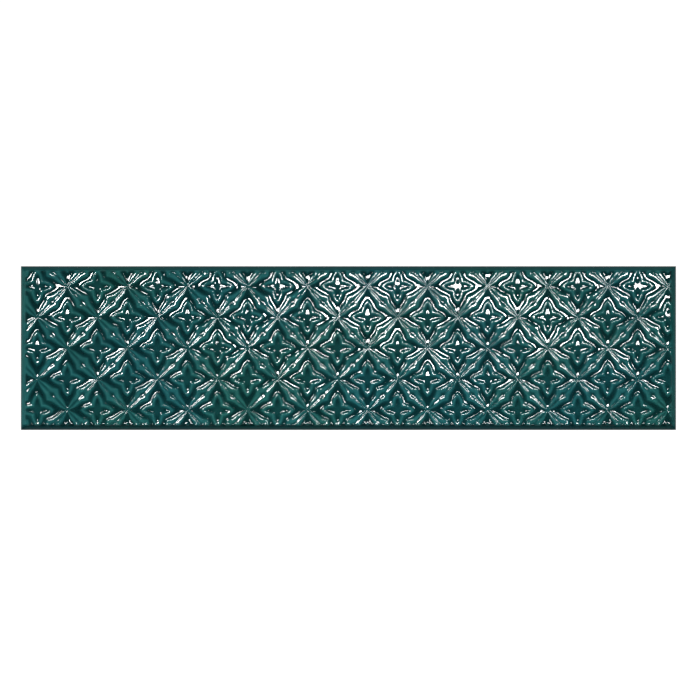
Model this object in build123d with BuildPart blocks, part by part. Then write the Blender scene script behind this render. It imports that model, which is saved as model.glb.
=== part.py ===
"""Decorative ceramic wall tile: one pressed and glazed slab with a diamond lattice and four-petal flowers in relief.

The tile lies on its back. X runs along its length, Y across its width and Z up through its decorated face.
The origin is in the middle of the back. All sizes are in millimetres.
"""

import os
from math import atan, ceil, cos, sin

from build123d import *

# Tile body
tile_length = 300.0
tile_width = 75.0
tile_thickness = 8.5
edge_round = 1.7  # rounding of the decorated face's four edges
rim_width = 2.4  # plain border that frames the relief
back_chamfer = 0.6  # bevel round the back

# Keyed back: long shallow grooves that take the adhesive
key_count = 6
key_width = 8.0
key_pitch = 11.5
key_depth = 0.7
key_border = 9.0  # plain band left at both ends of the grooves

# Relief pattern: flowers and lattice crossings alternate in rows and in columns
pitch_along = 27.55  # from a flower to the next one in the same row
pitch_across = 28.4  # from a flower to the next one in the same column
pattern_shift = -5.0  # middle row's flower nearest to the tile's centre
relief_depth = 0.9
rim_wall_run = 0.9  # plan width of the sloping wall inside the rim

# Flower: the petals point along X and Y, and a notch lies between each two
petal_reach = 8.1  # centre to petal tip, at the foot of the flower
petal_notch = 3.6  # X and Y of the notch, at the foot of the flower
petal_wall_run = 0.7  # plan width of the flower's sloping wall

# Sunk star in the middle of the flower
star_reach = 4.9
star_notch = 1.75
star_wall_run = 0.8
star_depth = 0.7

# Moat between the flower and the lattice
moat_width = 0.4  # at the notch, across its floor
moat_tip_gap = 3.0  # ahead of a petal tip, along its floor
moat_wall_run = 0.7

# Lattice bands: a fine groove down the middle, with a square dimple half way between two crossings
groove_width = 1.1
groove_depth = 0.5
dimple_side = 4.4
dimple_depth = 0.75

# Places worked out from the sizes above
half_along = pitch_along / 2
half_across = pitch_across / 2
relief_floor = tile_thickness - relief_depth
moat_reach = petal_reach + moat_tip_gap
moat_notch = petal_notch + moat_width
field_length = tile_length - 2 * rim_width
field_width = tile_width - 2 * rim_width
columns = ceil(tile_length / pitch_along) + 1
rows = ceil(tile_width / pitch_across)
band_angle = atan(half_across / half_along)  # slope of the lattice bands against X


def four_point_outline(reach, notch):
    """A closed outline with four points on X and Y and four notches on the diagonals between them."""
    with BuildSketch() as outline:
        with BuildLine():
            Polyline((0, reach), (notch, notch), (reach, 0))
            mirror(about=Plane.YZ)
            mirror(about=Plane.XZ)
        make_face()
    return outline.sketch


# Cutter for one flower: the moat around it and the star sunk into it
with BuildPart() as flower_cutter:
    with BuildSketch(Plane.XY.offset(relief_floor)):
        add(four_point_outline(moat_reach, moat_notch))
    with BuildSketch(Plane.XY.offset(tile_thickness)):
        add(four_point_outline(moat_reach + moat_wall_run, moat_notch + moat_wall_run))
    loft(ruled=True)
    with BuildSketch(Plane.XY.offset(relief_floor)):
        add(four_point_outline(petal_reach, petal_notch))
    with BuildSketch(Plane.XY.offset(tile_thickness)):
        add(four_point_outline(petal_reach - petal_wall_run, petal_notch - petal_wall_run))
    loft(ruled=True, mode=Mode.SUBTRACT)
    with BuildSketch(Plane.XY.offset(tile_thickness - star_depth)):
        add(four_point_outline(star_reach - star_wall_run, star_notch - star_wall_run))
    with BuildSketch(Plane.XY.offset(tile_thickness)):
        add(four_point_outline(star_reach, star_notch))
    loft(ruled=True)

# Cutters for the grooves, one for each slant of the lattice bands
groove_half_length = (field_width / 2 + half_across) / sin(band_angle)
groove_cutters = []
for slant in (1, -1):
    along_band = Vector(cos(band_angle), slant * sin(band_angle), 0)
    with BuildPart() as groove_cutter:
        across_band = Vector(0, 0, 1).cross(along_band)
        with BuildSketch(Plane(origin=(0, 0, tile_thickness), x_dir=across_band, z_dir=along_band)):
            with BuildLine():
                Polyline((-groove_width / 2, 0), (0, -groove_depth), (groove_width / 2, 0), close=True)
            make_face()
        extrude(amount=groove_half_length, both=True)
    groove_cutters.append(groove_cutter.part)

# Cutter for one dimple, a pyramid with its point down
with BuildPart() as dimple_cutter:
    with BuildSketch(Plane.XY.offset(tile_thickness)) as dimple_mouth:
        Rectangle(dimple_side, dimple_side)
    loft([dimple_mouth.face(), Vertex(0, 0, tile_thickness - dimple_depth)], ruled=True)

# The patterned field: a slab of its own, with everything that the press leaves out of the face cut away
flower_spots = []
for column in range(-columns, columns + 1):
    for row in range(-rows, rows + 1):
        if (column + row) % 2 == 0:
            flower_spots.append((pattern_shift + column * half_along, row * half_across))
band_columns = [column for column in range(-columns - rows, columns + rows + 1) if column % 2]
band_spots = [(pattern_shift + column * half_along, 0) for column in band_columns]
with BuildPart() as field:
    with Locations((0, 0, tile_thickness)):
        Box(field_length + rim_width, field_width + rim_width, 2 * relief_depth, align=(Align.CENTER, Align.CENTER, Align.MAX))
    with Locations(*flower_spots):
        add(flower_cutter.part, mode=Mode.SUBTRACT)
    with Locations(*band_spots):
        for cutter in groove_cutters:
            add(cutter, mode=Mode.SUBTRACT)
    with Locations((pattern_shift, 0)):
        with GridLocations(half_along, half_across, 2 * columns, 2 * rows):
            add(dimple_cutter.part, mode=Mode.SUBTRACT)

# The tile: a slab with a keyed back and rounded edges, and a rim that stands round the patterned field
with BuildPart() as tile:
    with Locations((0, 0, tile_thickness / 2)):
        Box(tile_length, tile_width, tile_thickness)
    face_edges = tile.faces().sort_by(Axis.Z)[-1].edges()
    fillet(face_edges, radius=edge_round)
    back_edges = tile.faces().sort_by(Axis.Z)[0].edges()
    chamfer(back_edges, length=back_chamfer)
    with BuildSketch(Plane.XY):
        with GridLocations(0, key_pitch, 1, key_count):
            Rectangle(tile_length - 2 * key_border, key_width)
    extrude(amount=key_depth, mode=Mode.SUBTRACT)
    with BuildSketch(Plane.XY.offset(tile_thickness)):
        Rectangle(field_length, field_width)
    with BuildSketch(Plane.XY.offset(relief_floor - relief_depth / 2)):
        Rectangle(field_length - 3 * rim_wall_run, field_width - 3 * rim_wall_run)
    loft(ruled=True, mode=Mode.SUBTRACT)
    add(field.part)

tile.part.label = "tile"
os.makedirs("parts", exist_ok=True)
export_step(tile.part, "parts/tile.step")
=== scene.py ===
import math

import bmesh
import bpy
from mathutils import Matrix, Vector


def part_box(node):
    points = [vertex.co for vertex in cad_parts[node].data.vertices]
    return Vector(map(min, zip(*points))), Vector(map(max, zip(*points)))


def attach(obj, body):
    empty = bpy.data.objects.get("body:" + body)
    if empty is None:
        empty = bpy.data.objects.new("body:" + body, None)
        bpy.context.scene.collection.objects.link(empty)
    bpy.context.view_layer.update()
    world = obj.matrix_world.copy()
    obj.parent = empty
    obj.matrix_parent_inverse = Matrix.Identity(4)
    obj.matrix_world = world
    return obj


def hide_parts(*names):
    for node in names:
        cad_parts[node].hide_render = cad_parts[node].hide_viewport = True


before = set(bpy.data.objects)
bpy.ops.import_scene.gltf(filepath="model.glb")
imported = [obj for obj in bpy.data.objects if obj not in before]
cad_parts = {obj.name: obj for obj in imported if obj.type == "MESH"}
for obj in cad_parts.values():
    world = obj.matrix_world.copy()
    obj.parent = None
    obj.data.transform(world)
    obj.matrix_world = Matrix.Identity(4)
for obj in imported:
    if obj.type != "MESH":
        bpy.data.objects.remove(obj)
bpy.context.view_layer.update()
tileLow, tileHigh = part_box("tile")
mm = 0.001
onPlane = 0.01 * mm  # how near a vertex lies to count as on a plane
faceTop = tileHigh[2]
halfLength = (tileHigh[0] - tileLow[0]) / 2
halfWidth = (tileHigh[1] - tileLow[1]) / 2
print("frame loaded, tile", round(2 * halfLength / mm, 2), "by", round(2 * halfWidth / mm, 2), "mm")


def startFresh():
    if bpy.context.object and bpy.context.object.mode != "OBJECT":
        bpy.ops.object.mode_set(mode="OBJECT")
    bpy.ops.object.select_all(action="DESELECT")


def editSelect(piece, kind, chooses):  # select the verts, edges or faces that a test picks, in edit mode
    bpy.ops.mesh.select_mode(type={"verts": "VERT", "edges": "EDGE", "faces": "FACE"}[kind])
    bpy.ops.mesh.select_all(action="DESELECT")
    mesh = bmesh.from_edit_mesh(piece.data)
    for element in getattr(mesh, kind):
        if chooses(element):
            element.select_set(True)
    mesh.select_flush_mode()
    bmesh.update_edit_mesh(piece.data)


# One lattice cell: a flower in a diamond with a crossing at each corner.
# Each line runs from a petal's axis to the diagonal through a notch, drawn for a half pitch of 14 mm
# and stretched to the tile's own pitches. Places are in mm, heights are parts of the relief's depth.
flowerCell = {
    "drawnHalfPitch": 14.0,
    "halfAlong": 13.745 * mm,
    "halfAcross": 14.17 * mm,
    "raysPerOctant": 7,
    "reliefDepth": 0.44 * mm,
    "crestDrop": 0.38 * mm,  # crests below the rim
    "heart": [
        (1.8, 0, -0.66), (1.5, 0.2, -0.64), (1.15, 0.38, -0.62),
        (0.85, 0.55, -0.61), (0.65, 0.65, -0.61),
    ],
    "starFloor": [
        (4.2, 0, -1), (3.5, 0.42, -0.95), (2.5, 0.66, -0.8),
        (1.75, 0.9, -0.68), (1.2, 1.2, -0.62),
    ],
    "ringCrest": [
        (6.9, 0, 0), (5.9, 1.0, -0.02), (4.8, 1.6, 0),
        (3.3, 2.05, 0), (2.1, 2.1, 0.05),
    ],
    "petalFoot": [
        (8.7, 0, -1), (7.35, 1.5, -1), (5.95, 2.45, -0.97),
        (4.75, 3.0, -0.86), (3.85, 3.85, -0.85),
    ],
    "bandFoot": [
        (13.0, 0, -0.85), (9.9, 1.05, -0.95), (7.6, 2.35, -1),
        (5.7, 3.4, -0.88), (4.0, 4.0, -0.85),
    ],
    "bandCrest": [
        (13.4, 0, -0.25), (11.0, 1.5, -0.04), (8.95, 3.3, 0),
        (6.9, 4.6, 0), (4.75, 4.75, -0.06),
    ],
    "bandInner": [
        (13.55, 0, -0.27), (11.2, 1.68, -0.06), (9.1, 3.6, -0.02),
        (7.3, 5.05, -0.02), (5.75, 5.75, -0.12),
    ],
    "bandMiddle": [
        (14, 0, -0.5), (12.2, 1.8, -0.56), (10.2, 3.8, -0.58),
        (8.3, 5.7, -0.32), (7, 7, -0.95),
    ],
}


def flat(t):
    return t


def swell(t):  # level at both ends
    return t * t * (3 - 2 * t)


cellStages = [("heart", "starFloor", 2, swell), ("starFloor", "ringCrest", 5, swell),
              ("ringCrest", "petalFoot", 5, swell), ("petalFoot", "bandFoot", 1, flat),
              ("bandFoot", "bandCrest", 5, swell), ("bandCrest", "bandInner", 1, flat),
              ("bandInner", "bandMiddle", 4, swell)]


def pointOnLine(line, u):  # smooth curve through the line's points, mirrored past both of its ends
    before = (line[1][0], -line[1][1], line[1][2])
    if line[0][0] == flowerCell["drawnHalfPitch"]:  # the cell's own edge runs straight into its corner
        before = [2 * a - b for a, b in zip(line[0], line[1])]
    after = (line[-2][1], line[-2][0], line[-2][2])
    points = [before, *line, after]
    spans = len(line) - 1
    first = min(int(u * spans), spans - 1)
    t = u * spans - first
    return [b + 0.5 * t * (c - a + t * (2 * a - 5 * b + 4 * c - d + t * (3 * b - a - 3 * c + d)))
            for a, b, c, d in zip(*points[first:first + 4])]


def cellLoop(lineFrom, lineTo, t, profile):  # one closed loop of places, ray by ray round the flower
    rays = flowerCell["raysPerOctant"]
    places = []
    for ray in range(8 * rays):
        turn, step = divmod(ray, 2 * rays)
        u = min(step, 2 * rays - step) / rays
        start, end = pointOnLine(lineFrom, u), pointOnLine(lineTo, u)
        x, y = (a + (b - a) * t for a, b in zip(start[:2], end[:2]))
        z = start[2] + (end[2] - start[2]) * profile(t)
        if step > rays:
            x, y = y, x
        for quarter in range(turn):
            x, y = -y, x
        places.append((x * flowerCell["halfAlong"] / flowerCell["drawnHalfPitch"],
                       y * flowerCell["halfAcross"] / flowerCell["drawnHalfPitch"], z))
    return places


def placeLoop(piece, places):
    mesh = bmesh.from_edit_mesh(piece.data)
    rayOf = mesh.verts.layers.int["ray"]
    reliefOf = mesh.verts.layers.float["relief"]
    for vert in mesh.verts:
        if vert.select:
            vert.co = places[vert[rayOf]]
            vert[reliefOf] = vert.co.z
    bmesh.update_edit_mesh(piece.data)


startFresh()
rayCount = 8 * flowerCell["raysPerOctant"]
bpy.ops.mesh.primitive_circle_add(
    vertices=rayCount, radius=2 * mm, fill_type="TRIFAN", location=(0, 0, 0))
face = bpy.context.object
face.name = "glazed_tile"
bpy.ops.object.mode_set(mode="EDIT")
mesh = bmesh.from_edit_mesh(face.data)
mesh.verts.layers.float.new("relief")  # height before the tile's own sway, read by the glaze; on the rim it holds painted shade and light instead
rayOf = mesh.verts.layers.int.new("ray")
reliefOf = mesh.verts.layers.float["relief"]
for vert in mesh.verts:
    vert[rayOf] = round(math.atan2(vert.co.y, vert.co.x) / (2 * math.pi) * rayCount) % rayCount
    vert[reliefOf] = flowerCell["heart"][-1][2]
bmesh.update_edit_mesh(face.data)
editSelect(face, "edges", lambda edge: edge.is_boundary)
placeLoop(face, cellLoop(flowerCell["heart"], flowerCell["heart"], 0, flat))
for lineFrom, lineTo, steps, profile in cellStages:
    for step in range(1, steps + 1):
        bpy.ops.mesh.extrude_region_move()
        placeLoop(face, cellLoop(flowerCell[lineFrom], flowerCell[lineTo], step / steps, profile))
bpy.ops.object.mode_set(mode="OBJECT")
print("flower cell", len(face.data.polygons), "faces")

# The pattern: the cell doubled into a staggered pair, then repeated along and across the tile
pattern = {
    "middleFlower": -5.0 * mm,
    "columns": 13,
    "rows": 4,
    "rimWidth": 1.7 * mm,
    "rimWallRun": 0.9 * mm,
    "mergeWithin": 0.02 * mm,
    "cutWithin": 0.001 * mm,
}


def addArray(piece, name, count, offset):
    array = piece.modifiers.new(name, "ARRAY")
    array.count = count
    array.use_relative_offset = False
    array.use_constant_offset = True
    array.constant_offset_displace = offset
    bpy.context.view_layer.objects.active = piece
    bpy.ops.object.modifier_apply(modifier=name)


addArray(face, "stagger", 2, (flowerCell["halfAlong"], flowerCell["halfAcross"], 0))
addArray(face, "along", pattern["columns"], (2 * flowerCell["halfAlong"], 0, 0))
addArray(face, "across", pattern["rows"], (0, 2 * flowerCell["halfAcross"], 0))
bpy.ops.object.mode_set(mode="EDIT")
bpy.ops.mesh.select_all(action="SELECT")
firstColumn = pattern["middleFlower"] - (pattern["columns"] - 1) * flowerCell["halfAlong"]
firstRow = -pattern["rows"] * flowerCell["halfAcross"]
bpy.ops.transform.translate(value=(firstColumn, firstRow, 0))
bpy.ops.mesh.remove_doubles(threshold=pattern["mergeWithin"])
edgeX = halfLength - pattern["rimWidth"] - pattern["rimWallRun"]
edgeY = halfWidth - pattern["rimWidth"] - pattern["rimWallRun"]
for side in (-1, 1):
    for place, outward in (((side * edgeX, 0, 0), (side, 0, 0)), ((0, side * edgeY, 0), (0, side, 0))):
        bpy.ops.mesh.select_all(action="SELECT")
        bpy.ops.mesh.bisect(
            plane_co=place, plane_no=outward, clear_outer=True, threshold=pattern["cutWithin"])
print("pattern cut to its field")

# Real height: the relief on a face that is slightly crowned across and sways as fired ceramic does
sway = {
    "crown": 0.3 * mm,
    "waves": [  # height, lengths along and across, phase
        (0.10, 74, 60, 0.6),
        (0.09, -46, 66, 2.1),
        (0.06, 31, -53, 4.0),
        (0.06, 90, 34, 1.3),
        (0.04, -38, 27, 5.1),
        (0.015, 17, 13, 2.9),
        (0.012, -10, 12, 0.4),
    ],
}


def swayAt(x, y):
    rise = -sway["crown"] * (y / halfWidth) ** 2
    for height, along, across, phase in sway["waves"]:
        rise += height * mm * math.sin(2 * math.pi * (x / along + y / across) / mm + phase)
    return rise


mesh = bmesh.from_edit_mesh(face.data)
reliefOf = mesh.verts.layers.float["relief"]
for vert in mesh.verts:
    height = flowerCell["reliefDepth"] * vert[reliefOf] - flowerCell["crestDrop"]
    vert.co.z = faceTop + height + swayAt(vert.co.x, vert.co.y)
bmesh.update_edit_mesh(face.data)

# Round the pattern: a wall up to the rim, the rim that rolls over to the sides,
# the sides and the back's chamfer
body = {
    "rimWallSteps": 3,
    "rollSteps": 5,
    "rollFall": 1.7 * mm,
    "backChamfer": 0.6 * mm,
    "smoothBelow": 62,  # degrees
    "keyCount": 6,
    "keyWidth": 8.0 * mm,
    "keyPitch": 11.5 * mm,
    "keyDepth": 0.7 * mm,
    "keyBorder": 9.0 * mm,
    "rimLightAndShade": {"low": -1.0, "high": -0.35, "left": 0.0, "right": -0.42},  # rim glaze tone by side: painted shade, darkest along the low edge, and painted light along the left edge
}
editSelect(face, "edges", lambda edge: edge.is_boundary)
mesh = bmesh.from_edit_mesh(face.data)
footOf = mesh.verts.layers.float_vector.new("foot")
for vert in mesh.verts:
    vert[footOf] = vert.co
bmesh.update_edit_mesh(face.data)


def extrudeOut(piece, run, heightFrom, paintedShadeShare):  # next loop outwards from the pattern's edge
    bpy.ops.mesh.extrude_region_move()
    mesh = bmesh.from_edit_mesh(piece.data)
    footOf = mesh.verts.layers.float_vector["foot"]
    reliefOf = mesh.verts.layers.float["relief"]
    for vert in mesh.verts:
        if vert.select:
            foot = vert[footOf]
            outX = math.copysign(run, foot.x) if abs(abs(foot.x) - edgeX) < onPlane else 0
            outY = math.copysign(run, foot.y) if abs(abs(foot.y) - edgeY) < onPlane else 0
            vert.co = (foot.x + outX, foot.y + outY, heightFrom(foot.z))
            side = ("high" if outY > 0 else "low") if outY else ("right" if outX > 0 else "left")
            # blend the rim's glaze tone toward the painted shade and light of its side
            vert[reliefOf] += (body["rimLightAndShade"][side] - vert[reliefOf]) * paintedShadeShare
    bmesh.update_edit_mesh(piece.data)


for step in range(1, body["rimWallSteps"] + 1):
    t = step / body["rimWallSteps"]
    extrudeOut(face, pattern["rimWallRun"] * t, lambda low: low + (faceTop - low) * swell(t), t)
bpy.ops.mesh.mark_sharp()  # the rim's inner edge
for step in range(1, body["rollSteps"] + 1):
    out = math.sin(math.pi / 2 * step / body["rollSteps"])
    fall = body["rollFall"] * (1 - (1 - out ** 1.3) ** 0.6)  # falls away at once and ends upright
    extrudeOut(face, pattern["rimWallRun"] + pattern["rimWidth"] * out, lambda low: faceTop - fall, 1)
sideRun = pattern["rimWallRun"] + pattern["rimWidth"]
extrudeOut(face, sideRun, lambda low: body["backChamfer"], 1)
extrudeOut(face, sideRun - body["backChamfer"], lambda low: 0, 1)
bpy.ops.mesh.edge_face_add()  # the back
print("rim, sides and back closed")


def liesAt(element, height):
    return all(abs(vert.co.z - height) < onPlane for vert in element.verts)


keyEnd = halfLength - body["keyBorder"]
keyEdges = []
for key in range(body["keyCount"]):
    middle = (key - (body["keyCount"] - 1) / 2) * body["keyPitch"]
    keyEdges += [(middle - body["keyWidth"] / 2, middle + body["keyWidth"] / 2)]
cuts = [((end, 0, 0), (1, 0, 0)) for end in (-keyEnd, keyEnd)]
cuts += [((0, edge, 0), (0, 1, 0)) for pair in keyEdges for edge in pair]
for place, normal in cuts:
    editSelect(face, "faces", lambda patch: liesAt(patch, 0))
    bpy.ops.mesh.bisect(plane_co=place, plane_no=normal)


def inKey(patch):
    middle = patch.calc_center_median()
    inRow = any(low < middle.y < high for low, high in keyEdges)
    return liesAt(patch, 0) and abs(middle.x) < keyEnd and inRow


editSelect(face, "faces", inKey)
bpy.ops.mesh.extrude_region_move(TRANSFORM_OT_translate={"value": (0, 0, body["keyDepth"])})
bpy.ops.mesh.select_all(action="SELECT")
bpy.ops.mesh.normals_make_consistent(inside=False)
mesh = bmesh.from_edit_mesh(face.data)
openEdges = sum(not edge.is_manifold for edge in mesh.edges)
print("open edges", openEdges, "triangles", len(mesh.calc_loop_triangles()))
bpy.ops.object.mode_set(mode="OBJECT")
bpy.ops.object.shade_smooth_by_angle(angle=math.radians(body["smoothBelow"]))

# Glaze: dark where it pools in the relief, lighter where it thins over the crests; on the rim, painted
# shade darkest along the low edge and painted light along the left edge
glaze = {
    "tones": [  # share of the relief's height, colour
        (0.0, (0.0012, 0.020, 0.0205)),
        (0.5, (0.0055, 0.051, 0.0500)),
        (0.9, (0.0140, 0.096, 0.0915)),
        (1.0, (0.0200, 0.113, 0.1070)),
    ],
    "tintWarm": (1.06, 1.02, 0.96, 1),
    "tintCool": (0.86, 0.97, 1.10, 1),
    "driftSize": 38 * mm,
    "mottle": (0.88, 1.12),
    "mottleSize": 9 * mm,
    "gloss": 0.03,
    "ior": 1.55,
    "peelSize": 3.5 * mm,
    "peelDepth": 0.03 * mm,
    "peelStrength": 0.25,
    "edgeDepth": 4.4 * mm,  # below the face
    "edgeRipple": 1.4 * mm,
    "edgeFade": 0.3 * mm,
    "bisque": (0.62, 0.54, 0.44, 1),
    "bisqueRough": 0.85,
    "grain": (0.9, 1.08),
    "grainSize": 0.8 * mm,
}
glazeLook = bpy.data.materials.new("teal_glaze")
glazeLook.use_nodes = True
nodes, links = glazeLook.node_tree.nodes, glazeLook.node_tree.links
shader = nodes["Principled BSDF"]


def addNode(kind, **values):
    node = nodes.new(kind)
    for name, value in values.items():
        setattr(node, name, value)
    return node


place = addNode("ShaderNodeTexCoord")
split = addNode("ShaderNodeSeparateXYZ")
links.new(place.outputs["Object"], split.inputs[0])
height = addNode("ShaderNodeAttribute", attribute_name="relief")
level = addNode("ShaderNodeMapRange")  # 0 on the relief's floor, 1 on its highest crests; the rim's painted shade and light use the same scale
level.inputs["From Min"].default_value = -1.0
level.inputs["From Max"].default_value = 0.05
links.new(height.outputs["Fac"], level.inputs["Value"])
tone = addNode("ShaderNodeValToRGB")
while len(tone.color_ramp.elements) < len(glaze["tones"]):
    tone.color_ramp.elements.new(0.5)
for stop, (position, shade) in zip(tone.color_ramp.elements, glaze["tones"]):
    stop.position = position
    stop.color = shade + (1,)
links.new(level.outputs["Result"], tone.inputs[0])


def addNoise(size, detail):  # noise with lumps of about this size
    noise = addNode("ShaderNodeTexNoise")
    noise.inputs["Scale"].default_value = 1 / size
    noise.inputs["Detail"].default_value = detail
    links.new(place.outputs["Object"], noise.inputs["Vector"])
    return noise.outputs["Fac"]


def addRange(value, fromLow, fromHigh, toLow, toHigh):
    span = addNode("ShaderNodeMapRange")
    span.inputs["From Min"].default_value = fromLow
    span.inputs["From Max"].default_value = fromHigh
    span.inputs["To Min"].default_value = toLow
    span.inputs["To Max"].default_value = toHigh
    links.new(value, span.inputs["Value"])
    return span.outputs["Result"]


def addMix(blend, factor, first, second):
    mix = addNode("ShaderNodeMix", data_type="RGBA", blend_type=blend)
    for socket, value in ((mix.inputs[0], factor), (mix.inputs[6], first), (mix.inputs[7], second)):
        if isinstance(value, bpy.types.NodeSocket):
            links.new(value, socket)
        else:
            socket.default_value = value
    return mix.outputs[2]


drift = addRange(addNoise(glaze["driftSize"], 2), 0.35, 0.65, 0, 1)
tint = addMix("MIX", drift, glaze["tintWarm"], glaze["tintCool"])
mottle = addRange(addNoise(glaze["mottleSize"], 3), 0.3, 0.7, *glaze["mottle"])
glazed = addMix("MULTIPLY", 1.0, addMix("MULTIPLY", 1.0, tone.outputs["Color"], tint), mottle)
grain = addRange(addNoise(glaze["grainSize"], 4), 0.3, 0.7, *glaze["grain"])
bisque = addMix("MULTIPLY", 1.0, glaze["bisque"], grain)
ripple = addNode("ShaderNodeMath", operation="MULTIPLY_ADD")  # the glaze's edge runs unevenly
ripple.inputs[1].default_value = glaze["edgeRipple"]
links.new(addNoise(glaze["mottleSize"], 2), ripple.inputs[0])
links.new(split.outputs["Z"], ripple.inputs[2])
bareFrom = faceTop - glaze["edgeDepth"] + glaze["edgeRipple"] / 2
bare = addRange(ripple.outputs[0], bareFrom, bareFrom - glaze["edgeFade"], 0, 1)
links.new(addMix("MIX", bare, glazed, bisque), shader.inputs["Base Color"])
links.new(addRange(bare, 0, 1, glaze["gloss"], glaze["bisqueRough"]), shader.inputs["Roughness"])
peel = addNode("ShaderNodeBump")  # faint unevenness of the glaze
peel.inputs["Strength"].default_value = glaze["peelStrength"]
peel.inputs["Distance"].default_value = glaze["peelDepth"]
links.new(addNoise(glaze["peelSize"], 2), peel.inputs["Height"])
links.new(peel.outputs["Normal"], shader.inputs["Normal"])
shader.inputs["IOR"].default_value = glaze["ior"]
face.data.materials.clear()
face.data.materials.append(glazeLook)
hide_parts("tile")
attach(face, "root")
print("glaze laid on")

# Studio: pale floor, softboxes above the far side, bounced light, camera straight above
studio = {
    "floorSize": 4.0,
    "floorDrop": 0.2 * mm,
    "floorTone": (0.15, 0.15, 0.15, 1),
    "floorGlow": 0.95,  # a floor lit from below, so that it is pale to its edges
    "imagePixels": 696,
    "pixelsPerMm": 2.1855,
    "tileMiddlePixel": (348.45, 348.1),
    "lens": 200.0,
    "softboxes": [  # centre, size along and across, aim, spread in degrees, power
        ((-0.21, 0.098, 0.5), (0.20, 0.036), (-0.095, 0, 0), 24, 0.055),
        ((0.03, 0.076, 0.5), (0.14, 0.034), (0.03, 0.004, 0), 20, 0.0235),
        ((0.21, 0.076, 0.5), (0.15, 0.034), (0.12, 0, 0), 24, 0.031),
    ],
    "bounces": [  # light the glaze's colour without a highlight of their own
        ((0.0, 0.45, 1.45), (1.6, 0.8), (0, 0, 0), 180, 8.5),
        ((0.0, -0.14, 0.24), (0.7, 0.06), (0, 0, 0), 180, 1.3),
    ],
    "fill": 0.03,
    "horizonGlow": 0.25,  # low walls of the studio, seen in the gloss from low angles
    "glowLow": 0.25,  # height in the sky where the glow starts to fade
    "glowHigh": 0.55,  # and where it is gone
}
startFresh()
bpy.ops.mesh.primitive_plane_add(size=studio["floorSize"], location=(0, 0, -studio["floorDrop"]))
floor = bpy.context.object
floor.name = "floor"
floorLook = bpy.data.materials.new("pale_floor")
floorLook.use_nodes = True
floorShader = floorLook.node_tree.nodes["Principled BSDF"]
floorShader.inputs["Base Color"].default_value = studio["floorTone"]
floorShader.inputs["Roughness"].default_value = 1.0
floorShader.inputs["Emission Color"].default_value = (1, 1, 1, 1)
floorShader.inputs["Emission Strength"].default_value = studio["floorGlow"]
floor.data.materials.append(floorLook)
floor.visible_glossy = False


def addSoftbox(name, centre, size, aim, spread, power):
    bpy.ops.object.light_add(type="AREA", location=centre)
    box = bpy.context.object
    box.name = name
    ray = (Vector(aim) - Vector(centre)).normalized()
    box.rotation_euler = (math.asin(ray.y), math.atan(ray.x / ray.z), 0)
    box.data.shape = "RECTANGLE"
    box.data.size, box.data.size_y = size
    box.data.spread = math.radians(spread)
    box.data.energy = power
    box.visible_camera = False
    return box


for number, softbox in enumerate(studio["softboxes"]):
    addSoftbox("softbox_%d" % number, *softbox).visible_diffuse = False
for number, bounce in enumerate(studio["bounces"]):
    addSoftbox("bounce_%d" % number, *bounce).visible_glossy = False
world = bpy.data.worlds.new("studio_dark")
world.use_nodes = True
world.node_tree.nodes["Background"].inputs["Color"].default_value = (1, 1, 1, 1)
skyNodes, skyLinks = world.node_tree.nodes, world.node_tree.links
skyPlace = skyNodes.new("ShaderNodeTexCoord")
skySplit = skyNodes.new("ShaderNodeSeparateXYZ")
skyLinks.new(skyPlace.outputs["Generated"], skySplit.inputs[0])
skyFade = skyNodes.new("ShaderNodeMapRange")
skyFade.inputs["From Min"].default_value = studio["glowLow"]
skyFade.inputs["From Max"].default_value = studio["glowHigh"]
skyFade.inputs["To Min"].default_value = studio["horizonGlow"]
skyFade.inputs["To Max"].default_value = studio["fill"]
skyLinks.new(skySplit.outputs["Z"], skyFade.inputs["Value"])
skyLinks.new(skyFade.outputs["Result"], skyNodes["Background"].inputs["Strength"])
bpy.context.scene.world = world
bpy.context.scene.view_settings.view_transform = "Standard"

bpy.ops.object.camera_add(rotation=(0, 0, 0))
camera = bpy.context.object
camera.data.lens = studio["lens"]
frameWidth = studio["imagePixels"] / studio["pixelsPerMm"] * mm
middle = studio["imagePixels"] / 2
camera.location = ((middle - studio["tileMiddlePixel"][0]) / studio["pixelsPerMm"] * mm,
                   (studio["tileMiddlePixel"][1] - middle) / studio["pixelsPerMm"] * mm,
                   faceTop + frameWidth * studio["lens"] / camera.data.sensor_width)
camera.data.clip_end = 10
bpy.context.scene.camera = camera
print("studio set")
